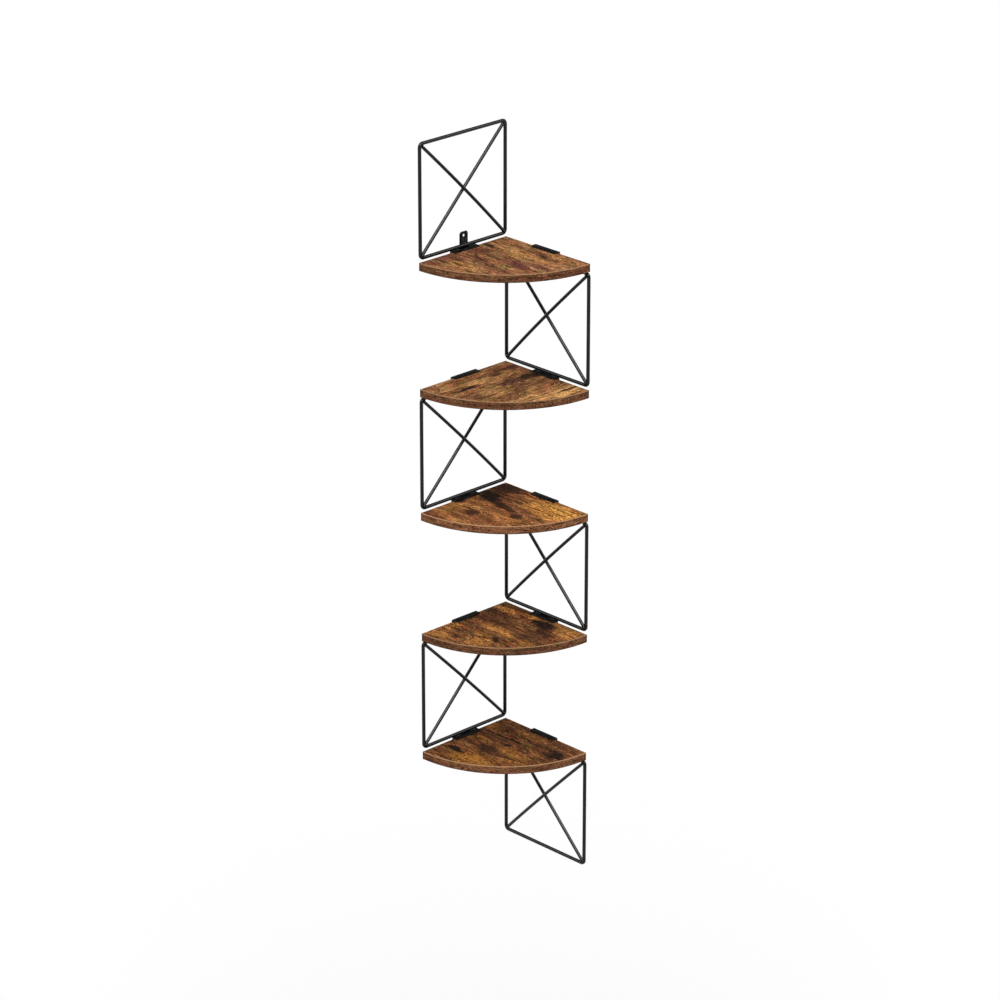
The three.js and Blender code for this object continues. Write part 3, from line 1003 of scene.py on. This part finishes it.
def strip_wood(board):
    """The strip round the arc: the same print, laid along the arc and up it, with a painted highlight
    along its rounded upper edge and painted shade at its lower edge and ends.
    """
    level = strip_levels[board.number - 1]
    material, tree, shader = new_material(f"edge_strip_{board.number}", wood_gloss)
    local = vector(tree, "SUBTRACT", place_on(tree), (*(board.corner / mm), board.high / mm))
    parts = node(tree, "SeparateXYZ", local).outputs
    arc = times(tree, maths(tree, "ARCTAN2", parts["Y"], parts["X"]), board.radius / mm)
    unrolled = node(tree, "CombineXYZ", arc, parts["Z"], 0.0).outputs[0]
    lie = vector(tree, "SCALE", unrolled, strip_fineness)
    figure = figure_on(tree, lie, board, strip_seed_steps)
    tones = {label: paint(*(level * channel for channel in value)) for label, value in strip_tones.items()}
    patches = smooth(tree, figure["Break"], *strip_patch_step, 0.0, strip_patch_cover)
    printed = print_from(tree, figure, Plum=patches, Bite=strip_bite, **tones)
    finish_with(tree, shader, printed, print_depth)
    # Painted highlight: a paler line along the rounded upper edge, broken in places by the figure
    line = smooth(tree, parts["Z"], *strip_highlight_step, 0.0, strip_highlight_cover)
    line = times(tree, line, smooth(tree, figure["Break"], *strip_highlight_breaks, strip_highlight_least, 1.0))
    pale = paint(*(level**strip_highlight_power * channel for channel in strip_highlight_colour))
    highlighted = blend(tree, line, printed["Color"], pale)
    thickness, half_arc = (board.high - board.low) / mm, board.radius / mm * math.pi / 4
    # Painted shade: darker towards the lower edge and towards both ends
    lower = smooth(tree, parts["Z"], -thickness, strip_shade_depth - thickness, strip_shade_cover, 0.0)
    from_middle = maths(tree, "ABSOLUTE", plus(tree, arc, half_arc))
    end_shade_step = half_arc - strip_end_shade_depth, half_arc - strip_end_shade_width
    ends = smooth(tree, from_middle, *end_shade_step, 0.0, strip_end_shade_cover)
    shaded = blend(tree, maths(tree, "MAXIMUM", lower, ends), highlighted, paint(*strip_shade_colour))
    tree.links.new(shaded, shader.inputs["Base Color"])
    return material


zinc_tones = {"Dark": paint(34, 34, 37), "Pale": paint(58, 58, 62)}
zinc = "screw_steel", coated("black_zinc", zinc_gloss, zinc_metallic, zinc_depth, **zinc_tones)
black_coat = "black_coat", coated("black_powder_coat", coat_gloss, 0.0, coat_depth)

# The unit

for number in range(1, panel_count + 1):
    panel = Panel(number)
    piece(f"panel_{number}_frame", frame_wire(panel), f"frame_{number}_wire", black_coat)
    for side, path in (("back", brace_back(panel)), ("front", brace_front(panel))):
        shape = rod(path, brace_diameter / 2, panel.left)
        piece(f"panel_{number}_brace_{side}", shape, f"frame_{number}_brace_{side}", black_coat)
    piece(f"panel_{number}_welds", panel_welds(panel), None, black_coat)

for number in range(1, board_count + 1):
    board = Board(number)
    wood, strip = ("rustic_wood", board_wood(board)), ("edge_strip", strip_wood(board))
    piece(f"board_{number}", board_slab(board), f"shelf_{number}_board", wood, sharp=60)
    piece(f"edge_strip_{number}", edge_strip(board), f"shelf_{number}_edge_band", strip, sharp=60)
    for side, left in (("above", on_left_wall(number)), ("below", not on_left_wall(number))):
        solid = f"bracket_{number}_{side}"
        piece(f"channel_{number}_{side}", channel(solid, left), solid, black_coat, sharp=50)
        for letter in "ab":
            solid, name = f"screw_{number}_{side}_{letter}", f"fastener_{number}_{side}_{letter}"
            piece(name, screw(solid), solid, zinc, sharp=40)

piece("hanging_tab", hanging_tab(on_left_wall(1)), "wall_tab", black_coat, sharp=50)

# Camera, from the upper front, on the corner's bisector
azimuth, elevation, distance = 45.93, 22.10, 7.0
target = Vector((0.0636, -0.075, 0.6482))
lens = 153.3
far_clip = 200


def to_front(rise):
    """The direction from the unit to the front, this many degrees up."""
    turn, tilt = math.radians(azimuth), math.radians(rise)
    return Vector((math.sin(turn) * math.cos(tilt), -math.cos(turn) * math.cos(tilt), math.sin(tilt)))


def looking_down():
    back = to_front(elevation)
    camera = placed("camera", bpy.data.cameras.new("camera"))
    camera.location = target + back * distance
    camera.rotation_mode = "QUATERNION"
    camera.rotation_quaternion = (-back).to_track_quat("-Z", "Y")
    camera.data.lens = lens
    camera.data.clip_end = far_clip
    bpy.context.scene.camera = camera


# Light: an even pale surround and a broad soft light high in front. Reflections see a white wall that
# ends in a dimmer room, with a lamp high in front, one on each side, and a small strong one nearly
# overhead, which the bends catch. For each lamp stand its strength, the lowest and highest value of a
# direction's height, and of how far it points to the camera.
surround_level = 0.55
key_strength = 1.65
key_spread = 40
key_tilt = 58
room_level = 0.14
wall_ends_up = 0.05, 0.20
lamps = {
    "front": (12.0, (0.59, 0.775), (0.40, 1.2)),
    "sides": (8.0, (0.45, 0.70), (-0.25, 0.15)),
    "overhead": (24.0, (0.82, 0.90), (0.28, 0.44)),
}
lamp_edge = 0.04
floor_white = 0.75
floor_seen = 1.003
floor_drop = 0.9
floor_side = 120


def soft_light():
    key = placed("key", bpy.data.lights.new("key", "SUN"))
    key.data.energy = key_strength
    key.data.angle = math.radians(key_spread)
    key.rotation_mode = "QUATERNION"
    key.rotation_quaternion = (-to_front(key_tilt)).to_track_quat("-Z", "Y")


def seen_rays(tree):
    """1 for rays from the camera, and 1 for rays from a reflection or a clear body."""
    path = tree.nodes.new("ShaderNodeLightPath").outputs
    shiny = maths(tree, "MAXIMUM", path["Is Glossy Ray"], path["Is Transmission Ray"])
    return path["Is Camera Ray"], shiny


def pale_surround():
    """A plain grey light all round. The camera sees it as white, and reflections as a room with lamps."""
    world = bpy.data.worlds.new("surround")
    world.use_nodes = True
    tree = world.node_tree
    camera, shiny = seen_rays(tree)
    direction = tree.nodes.new("ShaderNodeTexCoord").outputs["Generated"]
    up = node(tree, "SeparateXYZ", direction).outputs["Z"]
    ahead = vector(tree, "DOT_PRODUCT", direction, to_front(0))
    room = smooth(tree, up, *wall_ends_up, 1.0, room_level)
    for strength, lamp_up, lamp_ahead in lamps.values():
        lamp = within(tree, up, *lamp_up, lamp_edge)
        lamp = times(tree, lamp, within(tree, ahead, *lamp_ahead, lamp_edge))
        room = plus(tree, room, times(tree, lamp, strength))
    level = between(tree, camera, between(tree, shiny, surround_level, room), 1.0)
    tree.links.new(level, tree.nodes["Background"].inputs["Strength"])
    tree.nodes["Background"].inputs["Color"].default_value = (1, 1, 1, 1)
    bpy.context.scene.world = world


def pale_floor():
    """A plain floor well below the unit, which hangs on its wall. Where nothing shades it, it is lifted
    from its own level in the light to white."""
    mesh = bpy.data.meshes.new("floor")
    half = floor_side / 2
    corners = [(-half, -half), (half, -half), (half, half), (-half, half)]
    mesh.from_pydata([(x, y, -floor_drop) for x, y in corners], [], [(0, 1, 2, 3)])
    material, tree, shader = new_material("floor", 0.0)
    shader.inputs["Base Color"].default_value = (floor_white, floor_white, floor_white, 1)
    shader.inputs["Roughness"].default_value = 1.0
    shader.inputs["Emission Color"].default_value = (1, 1, 1, 1)
    seen = maths(tree, "MAXIMUM", *seen_rays(tree))
    light = surround_level + key_strength * math.sin(math.radians(key_tilt)) / math.pi
    lift = times(tree, seen, floor_seen - floor_white * light)
    tree.links.new(lift, shader.inputs["Emission Strength"])
    mesh.materials.append(material)
    placed("floor", mesh)


looking_down()
soft_light()
pale_surround()
pale_floor()
bpy.context.scene.view_settings.view_transform = "Standard"
